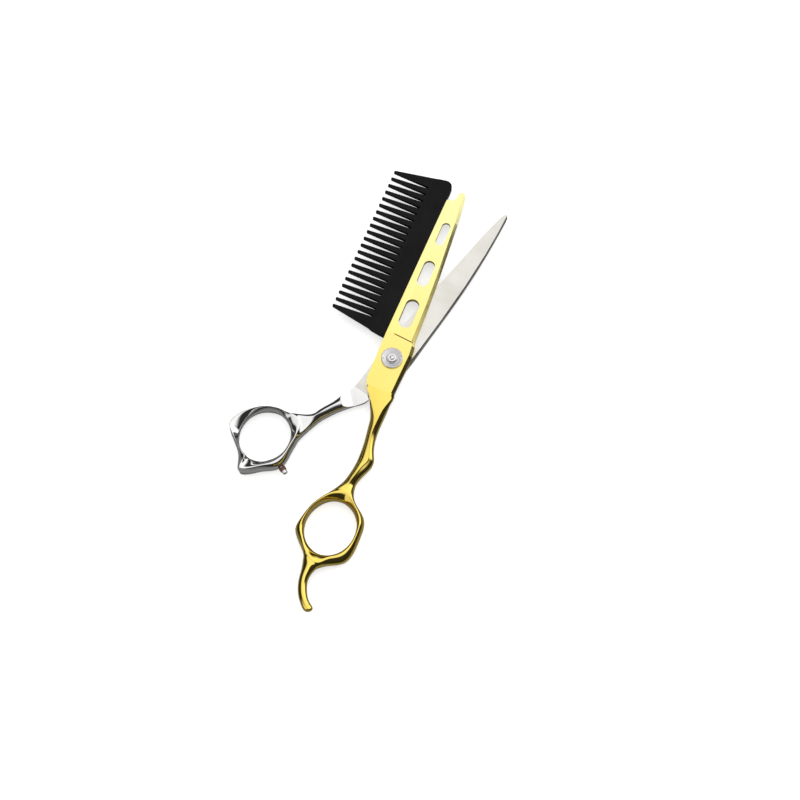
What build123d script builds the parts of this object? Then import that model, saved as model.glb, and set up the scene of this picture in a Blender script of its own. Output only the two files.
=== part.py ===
from build123d import *
import os
from math import cos, radians, sin, tan

# Hairdressing shears with a comb that clips on the spine of the upper blade.
# Millimetres and degrees. The Z axis is the pivot, z = 0 is the table the shears lie on,
# and +Y runs along the upper (finger) blade. The lower (thumb) half is drawn closed, in a
# frame of its own that is turned about the pivot.

# ---- Driving dimensions -------------------------------------------------------------------
OPEN_ANGLE = 14.8        # how far the halves stand open
RIDE = 3.6               # height of the plane where the blades slide on each other
RIDE_GAP = 0.05          # each ride face stands this far from that plane
RICASSO_T = 3.1          # thickness of a half around the pivot
TABLE_GAP = 0.45         # the thumb half's back stands this far above the table
HANDLE_T = 2 * RIDE      # rings reach from the table to as far above the ride plane
BLADE_END = 73.0         # from the pivot to the finger blade's tip
SPINE_X = -5.6           # finger blade's spine beside the pivot, at SPINE_Y
SPINE_Y = 8.0
SPINE_LEAN = 0.95        # how far the spine leans in towards the tip
STEP_Y = 8.7             # where the ground blade drops below the ricasso
FINGER_WELD_Y = -14.0    # where blade and handle are welded, finger half
THUMB_WELD_Y = -17.0     # and thumb half

COMB_T = 3.2             # comb's back
COMB_LOW = 2.7
TOOTH_COUNT = 21
TOOTH_PITCH = 3.0
TOOTH_TIP_U = -23.2      # from the spine to the tooth tips
TOOTH_ROOT_U = -7.5

BOLT_D = 4.2             # journal that the finger half turns on
THREAD_D = 3.3
DIAL_D = 8.1
BUSH_D = 5.8
STACK_D = 7.7            # pocket for the bush flange, spring and washer
FIT = 0.03               # radial clearance of running fits

FINGER_LOW = RIDE + RIDE_GAP
FINGER_TOP = FINGER_LOW + RICASSO_T
THUMB_TOP = RIDE - RIDE_GAP
THUMB_LOW = TABLE_GAP

PIVOT = Plane.XY
KEY = Plane.XY.rotated((0, 0, -OPEN_ANGLE))
# each half is drawn in a frame of its own, whose origin is the middle of its ricasso
FINGER = Plane(origin=(-0.4, 1.0, 0), x_dir=PIVOT.x_dir, z_dir=PIVOT.z_dir)
THUMB = Plane(origin=KEY.from_local_coords(Vector(-0.8, 1.0, 0)), x_dir=KEY.x_dir, z_dir=KEY.z_dir)


def spine_x(y):
    """The finger blade's spine, a straight line that leans in towards the tip."""
    return SPINE_X + (y - SPINE_Y) * tan(radians(SPINE_LEAN))


def along(frame, angle):
    """A unit vector in a half's own frame, this many degrees from its x."""
    return frame.x_dir * cos(radians(angle)) + frame.y_dir * sin(radians(angle))


def across(frame, station, tilt=0.0):
    """A plane square to a half at this distance from the pivot: x runs across it, y up."""
    foot = frame.from_local_coords(Vector(0, station, 0))
    return Plane(origin=foot, x_dir=along(frame, -tilt), z_dir=along(frame, -90 - tilt))


def profile_plane(frame, angle=90):
    """An upright plane through a frame's origin: x runs at this angle in that frame, y up."""
    return Plane(origin=frame.origin, x_dir=along(frame, angle), z_dir=along(frame, angle - 90))


def save(builder, name):
    """Labels a finished piece and writes it."""
    builder.part.label = name
    export_step(builder.part, f"parts/{name}.step")


os.makedirs("parts", exist_ok=True)


# ---- Finger blade: flat ride face below, ground face with three windows above --------------
CUT_EDGE = [(5.6, STEP_Y), (5.3, 22), (4.65, 36), (4.0, 45), (3.35, 55), (2.4, 65), (1.75, 70.8)]
TIP_X = -1.3             # the spine is cut away beside the tip, with a sloping shoulder
NOTCH_Y = 67.8
NOTCH = [(-3.2, 68.4), (-2.2, 68.9), (-1.5, 69.7), (TIP_X, 71.0)]
LAND_W = 0.65            # strip left along the spine
BEVEL_W = 1.1            # width of the sharpened bevel
EDGE_T = 0.12            # what is left of the thickness at the very edge
FLAT_T = 2.55            # thickness of the ground flat at the step, and its fall per millimetre
FLAT_FALL = 0.0246
LAND_FALL = 0.0353
STEP_TILT = 6.5
STEP_RAMP = 0.6          # the step is a short ramp, from here to the outer side
STEP_RAMP_X = -2.6
# distance from the pivot, inner foot of the long facet beside the spine, cutting edge
GRIND = [(STEP_Y, -0.9, 5.6), (25, -2.3, 5.2), (36, -3.15, 4.65), (48, -3.55, 3.8),
         (60, -4.1, 2.95), (75, -3.9, 1.2)]
# middle, overall length and width of each window
WINDOWS = [((-0.7, 53.95), 9.9, 3.3), ((-0.65, 36.25), 11.1, 4.4), ((-0.55, 18.5), 12.2, 5.2)]
RAIL_W = 1.0             # rail along the spine that the comb clips over
RAIL_T = 0.8
RAIL_LOW = 3.85
RAIL_FROM = 13.0
RAIL_TO = 65.5
SHOULDER_EASE = 1.2      # rounding of the ricasso's outer side
BEYOND = 9.0             # a height clear of every piece

with BuildPart() as finger_blade:
    with BuildSketch(FINGER.offset(FINGER_LOW)):
        with BuildLine():
            Line((-4.5, FINGER_WELD_Y), (6.3, FINGER_WELD_Y))
            Spline((6.3, FINGER_WELD_Y), (6.5, -8), (6.9, 2.5), (6.3, 7.2), CUT_EDGE[0])
            Spline(*CUT_EDGE)
            Spline(CUT_EDGE[-1], (0.3, BLADE_END), NOTCH[-1], tangents=((-0.1, 1), (0, -1)))
            Spline(*reversed(NOTCH), (spine_x(NOTCH_Y), NOTCH_Y))
            Line((spine_x(NOTCH_Y), NOTCH_Y), (SPINE_X, SPINE_Y))
            Line((SPINE_X, SPINE_Y), (-5.5, -9.5))
            Spline((-5.5, -9.5), (-5.2, -12.4), (-4.5, FINGER_WELD_Y))
        make_face()
    extrude(amount=RICASSO_T)
    # the face is ground down from the step to the tip, with a facet beside the spine
    for station, foot, edge in GRIND:
        flat = FINGER_LOW + FLAT_T - FLAT_FALL * (station - STEP_Y)
        land = max(FINGER_TOP - LAND_FALL * (station - STEP_Y), flat + 0.01)
        tilt = STEP_TILT if station == STEP_Y else 0
        land_x = spine_x(station) + LAND_W
        with BuildSketch(across(FINGER, station, tilt)):
            with BuildLine():
                Polyline((land_x, BEYOND), (land_x, land), (foot, flat), (edge - BEVEL_W, flat),
                         (edge + 0.05, FINGER_LOW + EDGE_T), (12, FINGER_LOW + EDGE_T), (12, BEYOND),
                         close=True)
            make_face()
    loft(ruled=True, mode=Mode.SUBTRACT)
    step_fall = tan(radians(STEP_TILT))
    ramp_foot = FINGER.from_local_coords(Vector(STEP_RAMP_X, STEP_Y - STEP_RAMP_X * step_fall, 0))
    ramp_plane = Plane(origin=ramp_foot, x_dir=along(FINGER, 90 - STEP_TILT), z_dir=along(FINGER, -STEP_TILT))
    with BuildSketch(ramp_plane):
        with BuildLine():
            Polyline((-STEP_RAMP, FINGER_TOP + 0.01), (0.01, FINGER_LOW + FLAT_T), (0.01, BEYOND),
                     (-STEP_RAMP, BEYOND), close=True)
        make_face()
    extrude(amount=12, mode=Mode.SUBTRACT)
    # the strip along the spine falls towards the tip
    with BuildSketch(profile_plane(FINGER)):
        with BuildLine():
            Polyline((STEP_Y, FINGER_TOP), (80, FINGER_TOP - LAND_FALL * 51), (80, BEYOND), (STEP_Y, BEYOND),
                     close=True)
        make_face()
    extrude(amount=20, both=True, mode=Mode.SUBTRACT)
    # the ricasso's outer side is eased where the thumb doesn't reach, more at its middle
    for station, side in [(-30, 6.6), (-14, 6.35), (-6, 6.6), (2.5, 6.95), (6.5, 6.6), (8.9, 5.7)]:
        with BuildSketch(across(FINGER, station)):
            with BuildLine():
                Polyline((side - SHOULDER_EASE, FINGER_TOP + 0.01), (side + 0.1, FINGER_TOP - SHOULDER_EASE),
                         (side + 2, FINGER_TOP - SHOULDER_EASE), (side + 2, FINGER_TOP + 0.01), close=True)
            make_face()
    loft(ruled=True, mode=Mode.SUBTRACT)
    with BuildSketch(FINGER.offset(FINGER_LOW)):
        for middle, length, width in WINDOWS:
            with Locations(middle):
                SlotOverall(length, width, rotation=90)
    extrude(amount=RICASSO_T, mode=Mode.SUBTRACT)
    # the pivot's bush goes through, and its flange, spring and washer lie in a pocket
    with BuildSketch(PIVOT.offset(FINGER_LOW)):
        Circle(BUSH_D / 2)
    extrude(amount=RICASSO_T, mode=Mode.SUBTRACT)
    with BuildSketch(PIVOT.offset(FINGER_TOP - 1.0)):
        Circle(STACK_D / 2)
    extrude(amount=2, mode=Mode.SUBTRACT)
    with BuildSketch(FINGER.offset(RAIL_LOW)):
        with BuildLine():
            Polyline((spine_x(RAIL_FROM) + 0.5, RAIL_FROM), (spine_x(RAIL_FROM) - RAIL_W, RAIL_FROM + 1),
                     (spine_x(RAIL_TO) - RAIL_W, RAIL_TO - 1), (spine_x(RAIL_TO) + 0.5, RAIL_TO), close=True)
        make_face()
    extrude(amount=RAIL_T)
save(finger_blade, "finger_blade")


# ---- Thumb blade: hollow ride face above, sharpened bevel below ----------------------------
THUMB_EDGE = [(-4.6, 9), (-3.4, 36), (-2.7, 48), (-1.9, 62), (-0.9, 71.5)]
THUMB_SPINE = [(1.3, 71.5), (3.2, 59), (4.8, 45), (5.8, 30), (6.35, 14), (6.8, 4)]
THUMB_TIP = (0.3, 73.5)
THUMB_BACK_RISE = 0.0245  # the back comes up towards the tip
THUMB_BEVEL_W = 3.0
THUMB_BEVEL_FADE = 130    # the bevel narrows towards the tip, to nothing this far out
RIDE_LINE_W = 0.55        # flat left beside the edge and the spine
SPINE_EASE = 0.45
KEY_W = 4.4
HEAD_D = 7.0
HEAD_T = 1.25
WASHER_D = 7.6
WASHER_LOW = 3.0
# distance from the pivot, cutting edge, spine, depth of the hollow between them
THUMB_GRIND = [(9, -4.6, 6.55, 0.16), (24, -3.95, 6.1, 0.15), (40, -3.2, 5.2, 0.12), (55, -2.35, 3.75, 0.08),
               (66, -1.6, 2.2, 0.04)]

with BuildPart() as thumb_blade:
    with BuildSketch(THUMB.offset(THUMB_LOW)):
        with BuildLine():
            Line((3.1, THUMB_WELD_Y), (-4.5, THUMB_WELD_Y))
            Spline((-4.5, THUMB_WELD_Y), (-4.6, -8), (-4.9, 0), THUMB_EDGE[0])
            Spline(*THUMB_EDGE)
            Spline(THUMB_EDGE[-1], THUMB_TIP, THUMB_SPINE[0], tangents=((0.15, 1), (0.2, -1)))
            Spline(*THUMB_SPINE)
            Spline(THUMB_SPINE[-1], (6.5, -4), (5.4, -11), (3.1, THUMB_WELD_Y))
        make_face()
    extrude(amount=THUMB_TOP - THUMB_LOW)
    # the back rises towards the tip, with a wide bevel up to the cutting edge
    for station, edge, spine, depth in THUMB_GRIND + [(76, -0.5, 0.5, 0)]:
        back = THUMB_LOW + THUMB_BACK_RISE * (station - 9)
        bevel = THUMB_BEVEL_W * (1 - station / THUMB_BEVEL_FADE)
        with BuildSketch(across(THUMB, station)):
            with BuildLine():
                Polyline((-12, -1), (-12, THUMB_TOP - EDGE_T), (edge - 0.05, THUMB_TOP - EDGE_T),
                         (edge + bevel, back), (12, back), (12, -1), close=True)
            make_face()
    loft(ruled=True, mode=Mode.SUBTRACT)
    # the ride face is hollow, so only its rims touch the other blade
    for station, edge, spine, depth in THUMB_GRIND:
        left = edge + RIDE_LINE_W
        right = spine - RIDE_LINE_W - SPINE_EASE
        middle = (left + right) / 2
        with BuildSketch(across(THUMB, station)):
            with BuildLine():
                ThreePointArc((left, THUMB_TOP), (middle, THUMB_TOP - depth), (right, THUMB_TOP))
                Polyline((right, THUMB_TOP), (right, THUMB_TOP + 1), (left, THUMB_TOP + 1), (left, THUMB_TOP))
            make_face()
    loft(mode=Mode.SUBTRACT)
    for station, edge, spine, depth in [(-2, 0, 6.62, 0)] + THUMB_GRIND + [(73, 0, 0.95, 0)]:
        with BuildSketch(across(THUMB, station)):
            with BuildLine():
                Polyline((spine - SPINE_EASE, THUMB_TOP + 0.01), (spine + 0.6, THUMB_TOP - 1.4),
                         (spine + 0.6, THUMB_TOP + 0.01), close=True)
            make_face()
    loft(ruled=True, mode=Mode.SUBTRACT)
    # pocket for the bolt's head, square hole for its key, recess for the ride washer
    with BuildSketch(KEY):
        Circle(HEAD_D / 2 + FIT)
    extrude(amount=HEAD_T, mode=Mode.SUBTRACT)
    with BuildSketch(KEY):
        Rectangle(KEY_W + 2 * FIT, KEY_W + 2 * FIT)
    extrude(amount=WASHER_LOW, mode=Mode.SUBTRACT)
    with BuildSketch(KEY.offset(WASHER_LOW)):
        Circle(WASHER_D / 2 + FIT)
    extrude(amount=1, mode=Mode.SUBTRACT)
save(thumb_blade, "thumb_blade")


# ---- Handles: a plan outline, shaped by a profile seen from the side -----------------------
HOLE_EDGE = 1.2          # bevel round the finger holes
RAMP_ANGLE = 49.8        # the ramps off the ride face are slanted, so the halves clear when shut
RAMP_FOOT = 17.8         # along that direction, how far below the pivot the ramp starts and ends
RAMP_HEAD = 22.2
RELIEF = 0.25            # the ride face is let down a little beside the ramp
FINGER_RING = (3.8, -70.0)
FINGER_HOLE = (9.4, 10.8)
THUMB_RING = (-19.2, -53.0)
THUMB_HOLE = (9.2, 10.3)
FINGER_LEFT = [(-4.5, FINGER_WELD_Y), (-2.4, -17), (-0.9, -20), (1.3, -25), (2.4, -31), (3.1, -40),
               (2.4, -48), (-0.4, -55.5), (-4.3, -61), (-7, -68), (-8.2, -74.4)]
REST_LEFT = [(-8.2, -74.4), (-6, -78), (-2.2, -82), (-0.3, -87), (0.6, -93), (3.2, -98.6), (6.9, -102.4)]
REST_TIP = (9.2, -102.2)
REST_RIGHT = [(9.0, -100.2), (6.2, -97.4), (3.8, -92), (4.2, -87), (8, -83.6), (13.4, -80)]
FINGER_RIGHT = [(13.4, -80), (15.2, -72), (14.7, -63.5), (11, -59.1), (7.2, -55), (6.3, -50.5), (8.2, -44.8),
                (8.8, -39.5), (6.5, -33), (6.1, -25), (6.3, FINGER_WELD_Y)]
THUMB_LEFT = [(-4.5, THUMB_WELD_Y), (-5.6, -21.8), (-8.1, -30), (-12, -38), (-19, -40.9), (-25.5, -43.6),
              (-31, -49.5), (-32.9, -56)]
FOOT_LEFT = [(-32.9, -56), (-29, -60.4), (-24, -63.4), (-19.6, -69.2)]
FOOT_RIGHT = [(-19.6, -69.2), (-16, -68.6), (-12.2, -64.2), (-8.8, -61.3), (-7.1, -58.6)]
THUMB_RIGHT = [(-7.1, -58.6), (-6.7, -55.5), (-7.6, -51.5), (-8.2, -45), (-6.8, -37), (-3.8, -29.7),
               (1, -22.5), (3.1, THUMB_WELD_Y)]
# side views, distance from the pivot and height: backs first, then tops coming back
FINGER_BACK = [(-16, -1), (-16, 0.9), (-24, 0.9), (-30, 0.8), (-44, 0.5), (-58, 0), (-82, 0), (-90, 1.3),
               (-104, 2.0)]
FINGER_FACE = [(-104, 5.2), (-90, 5.9), (-82, HANDLE_T), (-58, HANDLE_T), (-44, 6.7), (-30, 6.5),
               (-22, FINGER_TOP)]
THUMB_BACK = [(0, THUMB_LOW), (-24, THUMB_LOW), (-34, 0.3), (-46, 0), (-75, 0)]
THUMB_FACE = [(-75, HANDLE_T), (-46, HANDLE_T), (-34, 6.8), (-28, 6.4), (-20, 6.3), (-20, BEYOND)]

STUD_FOOT = (-6.9, -58.9)  # where the stop stud leaves the thumb ring
STUD_ANGLE = -18.4
STUD_D = 1.3
STUD_HEAD_D = 1.9
STUD_HEAD_R = 0.5
STUD_OUT = 2.9
STUD_IN = 1.6
PAD_D = 2.5
PAD_T = 1.5
PAD_R = 0.3
BOSS_D = 3.0
STUD = Plane(origin=THUMB.from_local_coords(Vector(*STUD_FOOT, RIDE)), z_dir=along(THUMB, STUD_ANGLE),
             x_dir=(0, 0, 1))


def hole_rims(part):
    """The two edges of a finger hole."""
    return part.edges().filter_by(GeomType.ELLIPSE)


def outer_end(part):
    """The face of a stop piece that looks away from the thumb ring."""
    return part.faces().sort_by(lambda face: STUD.to_local_coords(face.center()).Z)[-1]


with BuildPart() as finger_handle:
    with BuildSketch(FINGER):
        with BuildLine():
            Spline(*FINGER_LEFT)
            Spline(*REST_LEFT)
            ThreePointArc(REST_LEFT[-1], REST_TIP, REST_RIGHT[0])
            Spline(*REST_RIGHT)
            Spline(*FINGER_RIGHT)
            Line(FINGER_RIGHT[-1], FINGER_LEFT[0])
        make_face()
        with Locations(FINGER_RING):
            Ellipse(*FINGER_HOLE, mode=Mode.SUBTRACT)
    extrude(amount=HANDLE_T)
    chamfer(hole_rims(finger_handle.part), HOLE_EDGE)
    with BuildSketch(profile_plane(FINGER)):
        with BuildLine():
            Polyline(*FINGER_BACK, *FINGER_FACE, (0, FINGER_TOP), (0, -1), close=True)
        make_face()
    extrude(amount=40, both=True, mode=Mode.INTERSECT)
    # the slanted ramp up to the ride face, on the side that faces the thumb half
    with BuildSketch(profile_plane(FINGER, 180 - RAMP_ANGLE)):
        with BuildLine():
            Polyline((30, -1), (-RAMP_HEAD, -1), (-RAMP_HEAD, 0.9), (-RAMP_FOOT - 0.5, RIDE - 0.4),
                     (-RAMP_FOOT, FINGER_LOW + RELIEF), (0, FINGER_LOW + RELIEF), (0, FINGER_LOW),
                     (30, FINGER_LOW), close=True)
        make_face()
    extrude(amount=40, both=True, mode=Mode.SUBTRACT)
save(finger_handle, "finger_handle")

with BuildPart() as thumb_handle:
    with BuildSketch(THUMB):
        with BuildLine():
            Spline(*THUMB_LEFT)
            Spline(*FOOT_LEFT)
            Spline(*FOOT_RIGHT)
            Spline(*THUMB_RIGHT)
            Line(THUMB_RIGHT[-1], THUMB_LEFT[0])
        make_face()
        with Locations(THUMB_RING):
            Ellipse(*THUMB_HOLE, mode=Mode.SUBTRACT)
    extrude(amount=HANDLE_T)
    chamfer(hole_rims(thumb_handle.part), HOLE_EDGE)
    with BuildSketch(profile_plane(THUMB)):
        with BuildLine():
            Polyline(*THUMB_BACK, *THUMB_FACE, (0, BEYOND), close=True)
        make_face()
    extrude(amount=60, both=True, mode=Mode.INTERSECT)
    with BuildSketch(profile_plane(THUMB, RAMP_ANGLE)):
        with BuildLine():
            Polyline((30, BEYOND), (-RAMP_HEAD, BEYOND), (-RAMP_HEAD, 6.3), (-RAMP_FOOT - 0.5, RIDE + 0.4),
                     (-RAMP_FOOT, THUMB_TOP - RELIEF), (0, THUMB_TOP - RELIEF), (0, THUMB_TOP),
                     (30, THUMB_TOP), close=True)
        make_face()
    extrude(amount=60, both=True, mode=Mode.SUBTRACT)
    # a boss for the stop stud
    with BuildSketch(STUD.offset(-STUD_IN)):
        Circle(BOSS_D / 2)
    extrude(amount=STUD_IN)
    with BuildSketch(STUD.offset(-STUD_IN)):
        Circle(STUD_D / 2)
    extrude(amount=STUD_IN + STUD_OUT, mode=Mode.SUBTRACT)
save(thumb_handle, "thumb_handle")

with BuildPart() as stop_stud:
    with BuildSketch(STUD.offset(-STUD_IN)):
        Circle(STUD_D / 2)
    extrude(amount=STUD_IN + STUD_OUT)
    with BuildSketch(STUD.offset(PAD_T)):
        Circle(STUD_HEAD_D / 2)
    extrude(amount=STUD_OUT - PAD_T)
    fillet(outer_end(stop_stud.part).edges(), STUD_HEAD_R)
save(stop_stud, "stop_stud")

with BuildPart() as stop_pad:
    with BuildSketch(STUD):
        Circle(PAD_D / 2)
        Circle(STUD_D / 2, mode=Mode.SUBTRACT)
    extrude(amount=PAD_T)
    fillet(outer_end(stop_pad.part).edges().sort_by(SortBy.LENGTH)[-1], PAD_R)
save(stop_pad, "stop_pad")


# ---- Pivot set, from the table up ------------------------------------------------------------
POCKET_LOW = FINGER_TOP - 1.0
FLANGE_T = 0.4
SPRING_T = 0.27
DIAL_LOW = FINGER_TOP + 0.05
DIAL_HIGH = DIAL_LOW + 0.95
DIAL_EASE = 0.2
DISH_D = 7.1
DISH_DEPTH = 0.4
COLLAR_D = 4.6
SOCKET_R = 3.4           # two spanner sockets, this far from the axis
SOCKET_L = 1.3
SOCKET_W = 0.9
SOCKET_DEPTH = 0.7
SOCKET_ANGLE = 27
DOME_TOP = 8.2
DOME_R = 0.6

with BuildPart() as pivot_bolt:
    with BuildSketch(KEY):
        Circle(HEAD_D / 2)
    extrude(amount=HEAD_T)
    chamfer(pivot_bolt.edges().group_by(Axis.Z)[0], 0.3)
    with BuildSketch(KEY.offset(HEAD_T)):
        Rectangle(KEY_W, KEY_W)
    extrude(amount=WASHER_LOW - HEAD_T)
    with BuildSketch(KEY.offset(WASHER_LOW)):
        Circle(BOLT_D / 2)
    extrude(amount=FINGER_TOP - WASHER_LOW)
    with BuildSketch(KEY.offset(FINGER_TOP)):
        Circle(THREAD_D / 2)
    extrude(amount=DOME_TOP - FINGER_TOP)
    fillet(pivot_bolt.edges().group_by(Axis.Z)[-1], DOME_R)
save(pivot_bolt, "pivot_bolt")

with BuildPart() as ride_washer:
    with BuildSketch(PIVOT.offset(WASHER_LOW)):
        Circle(WASHER_D / 2)
        Circle(BOLT_D / 2 + FIT, mode=Mode.SUBTRACT)
    extrude(amount=RIDE - WASHER_LOW + 0.02)
save(ride_washer, "ride_washer")

with BuildPart() as pivot_bush:
    with BuildSketch(PIVOT.offset(FINGER_LOW)):
        Circle(BUSH_D / 2)
    extrude(amount=POCKET_LOW - FINGER_LOW)
    with BuildSketch(PIVOT.offset(POCKET_LOW)):
        Circle(STACK_D / 2 - 0.05)
    extrude(amount=FLANGE_T)
    with BuildSketch(PIVOT.offset(FINGER_LOW)):
        Circle(BOLT_D / 2 + FIT)
    extrude(amount=RICASSO_T, mode=Mode.SUBTRACT)
save(pivot_bush, "pivot_bush")

with BuildPart() as click_spring:
    with BuildSketch(PIVOT.offset(POCKET_LOW + FLANGE_T)):
        Circle(STACK_D / 2 - 0.1)
        Circle(BOLT_D / 2 + 0.3, mode=Mode.SUBTRACT)
    extrude(amount=SPRING_T)
save(click_spring, "click_spring")

with BuildPart() as dial_washer:
    with BuildSketch(PIVOT.offset(POCKET_LOW + FLANGE_T + SPRING_T)):
        Circle(STACK_D / 2 - 0.1)
        Circle(BOLT_D / 2 + 0.1, mode=Mode.SUBTRACT)
    extrude(amount=FINGER_TOP - POCKET_LOW - FLANGE_T - SPRING_T)
save(dial_washer, "dial_washer")

with BuildPart() as tension_dial:
    with BuildSketch(Plane.XZ):
        with BuildLine():
            Polyline((THREAD_D / 2 + FIT, DIAL_LOW), (DIAL_D / 2, DIAL_LOW),
                     (DIAL_D / 2, DIAL_HIGH - DIAL_EASE), (DIAL_D / 2 - DIAL_EASE, DIAL_HIGH),
                     (DISH_D / 2, DIAL_HIGH),
                     (COLLAR_D / 2, DIAL_HIGH - DISH_DEPTH), (THREAD_D / 2 + FIT, DIAL_HIGH - DISH_DEPTH),
                     close=True)
        make_face()
    revolve(axis=Axis.Z)
    with BuildSketch(PIVOT.offset(DIAL_HIGH - SOCKET_DEPTH)):
        with PolarLocations(SOCKET_R, 2, start_angle=SOCKET_ANGLE):
            SlotOverall(SOCKET_L, SOCKET_W)
    extrude(amount=2, mode=Mode.SUBTRACT)
save(tension_dial, "tension_dial")


# ---- Comb: drawn along the spine it clips on, u away from it and v along it --------------------
COMB = Plane(origin=FINGER.from_local_coords(Vector(SPINE_X, SPINE_Y, 0)), x_dir=along(FINGER, -SPINE_LEAN),
             z_dir=(0, 0, 1))
COMB_HIGH = COMB_LOW + COMB_T
BACK_U = -0.05
HEEL_V = -1.2
TOE_V = 67.0
TAPER_U = -3.0           # the ends slope in from here to the guard teeth
TOE_R = 2.4
FIRST_V = 3.1
LAST_V = FIRST_V + TOOTH_PITCH * (TOOTH_COUNT - 1)
TOOTH_TIP_W = 0.95
TOOTH_TIP_R = 0.4
ROOT_THIN = (0.3, 0.9)   # taken off the upper and the lower face at the teeth's roots
TIP_THIN = (0.85, 1.25)  # and at their tips
GAP_ROOT_W = 0.75
ROOT_LEAN = 0.012        # the gaps get shorter towards the toe
GAP_TIP_W = TOOTH_PITCH - TOOTH_TIP_W
OVER_U = TOOTH_TIP_U - 1.0

with BuildPart() as comb:
    with BuildSketch(COMB.offset(COMB_LOW)) as comb_plan:
        with BuildLine():
            Polyline((BACK_U, HEEL_V), (BACK_U, TOE_V), (TAPER_U, TOE_V),
                     (TOOTH_TIP_U, LAST_V + TOOTH_TIP_W / 2), (TOOTH_TIP_U, FIRST_V - TOOTH_TIP_W / 2),
                     (TAPER_U, HEEL_V + 0.3), close=True)
        make_face()
        fillet(comb_plan.vertices().group_by(Axis.X)[-1].sort_by(Axis.Y)[-1], TOE_R)
        for gap in range(TOOTH_COUNT - 1):
            middle_v = FIRST_V + TOOTH_PITCH * (gap + 0.5)
            root_u = TOOTH_ROOT_U - ROOT_LEAN * middle_v
            with BuildLine():
                Polyline((OVER_U, middle_v + GAP_TIP_W / 2), (root_u, middle_v + GAP_ROOT_W / 2),
                         (root_u, middle_v - GAP_ROOT_W / 2), (OVER_U, middle_v - GAP_TIP_W / 2), close=True)
            make_face(mode=Mode.SUBTRACT)
        fillet(comb_plan.vertices().filter_by(lambda point: point.X < TOOTH_TIP_U + 0.1), TOOTH_TIP_R)
    extrude(amount=COMB_T)
    with BuildSketch(profile_plane(COMB, 0)):
        with BuildLine():
            Polyline((1, COMB_LOW), (1, COMB_HIGH), (TOOTH_ROOT_U + 2, COMB_HIGH),
                     (TOOTH_ROOT_U, COMB_HIGH - ROOT_THIN[0]), (OVER_U, COMB_HIGH - TIP_THIN[0]),
                     (OVER_U, COMB_LOW + TIP_THIN[1]), (TOOTH_ROOT_U, COMB_LOW + ROOT_THIN[1]),
                     (TOOTH_ROOT_U + 1.4, COMB_LOW), close=True)
        make_face()
    extrude(amount=90, both=True, mode=Mode.INTERSECT)
    # the channel that clips over the blade's rail
    with BuildSketch(COMB.offset(RAIL_LOW - 0.1)):
        with Locations((-RAIL_W / 2, (RAIL_FROM + RAIL_TO) / 2 - SPINE_Y)):
            Rectangle(RAIL_W + 0.3, RAIL_TO - RAIL_FROM + 1.2)
    extrude(amount=RAIL_T + 0.2, mode=Mode.SUBTRACT)
save(comb, "comb")
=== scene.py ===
# %% [markdown]
# # Hairdressing shears with a clip-on comb
# This file dresses a finished mechanical model. The CAD frame holds every size and joint; here
# each piece gets its finish, and four pieces are shaped again in more detail: the two cast handles,
# the tension dial and the pivot bolt. We start by loading the frame.

import math

import bmesh
import bpy
from mathutils import Matrix, Vector


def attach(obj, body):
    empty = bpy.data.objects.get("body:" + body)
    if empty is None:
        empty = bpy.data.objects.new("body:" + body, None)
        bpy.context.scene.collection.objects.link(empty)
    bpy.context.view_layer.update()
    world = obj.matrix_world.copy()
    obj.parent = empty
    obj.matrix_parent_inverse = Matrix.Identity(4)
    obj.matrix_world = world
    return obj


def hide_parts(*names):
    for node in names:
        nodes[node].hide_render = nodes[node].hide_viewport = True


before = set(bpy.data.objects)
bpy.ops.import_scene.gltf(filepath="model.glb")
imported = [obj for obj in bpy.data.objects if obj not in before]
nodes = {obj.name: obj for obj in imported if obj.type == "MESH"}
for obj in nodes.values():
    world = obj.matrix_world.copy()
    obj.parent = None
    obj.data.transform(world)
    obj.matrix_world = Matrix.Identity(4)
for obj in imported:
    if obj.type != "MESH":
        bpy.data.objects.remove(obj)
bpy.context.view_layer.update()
MM = 0.001

# %% [markdown]
# ## Camera
# The shears are seen from above and a little from the front, with a long lens, so the outline
# stays nearly true. The camera looks straight along the line given by its azimuth and elevation,
# with no roll and no shift.

# %% Camera
AZIMUTH = math.radians(21.8)
ELEVATION = math.radians(70)
LENS_MM = 110
SENSOR_MM = 36
DIAL_TOP = 7.8 * MM
EYE = Vector((0.12423, -0.30256, 0.85220 + DIAL_TOP))
level_reach = math.cos(ELEVATION)
away = Vector((math.sin(AZIMUTH) * level_reach, -math.cos(AZIMUTH) * level_reach, math.sin(ELEVATION)))

camera_data = bpy.data.cameras.new("camera")
camera_data.lens = LENS_MM
camera_data.sensor_width = SENSOR_MM
camera = bpy.data.objects.new("camera", camera_data)
camera.location = EYE
camera.rotation_euler = away.to_track_quat("Z", "Y").to_euler()
bpy.context.scene.collection.objects.link(camera)
bpy.context.scene.camera = camera
print("camera at", [round(value, 3) for value in camera.location])

# %% [markdown]
# ## Floor and studio light
# Polished metal shows its surroundings more than itself, so the studio is what gives these shears
# their look. A pale floor lies under them. For the camera alone the paper has a painted glow of its
# own, which lightens the shadows on it so they are faint, and reflections see it darker, so low flanks
# don't turn white. The world is a large soft ceiling of light, with a darker belt near the horizon that
# is broken by two lit windows, one on each side. A rounded bar then shows a bright crest and dark
# flanks, as polished bars do in a light tent.

# %% Floor
FLOOR_REACH = 3.0
FLOOR_TONE = (0.9, 0.9, 0.9, 1)
FLOOR_GLOW_FOR_CAMERA = 0.6            # how strongly the paper glows for the camera alone, a painted glow that fades the shadows on it
MIRRORED_REACH = (6 * MM, 16 * MM)    # polished metal sees the paper darken over this distance
MIRRORED_TONES = (0.42, 0.02)


def linked(name, mesh):
    """Puts a mesh in the scene as an object."""
    made = bpy.data.objects.new(name, mesh)
    bpy.context.scene.collection.objects.link(made)
    return made


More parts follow.
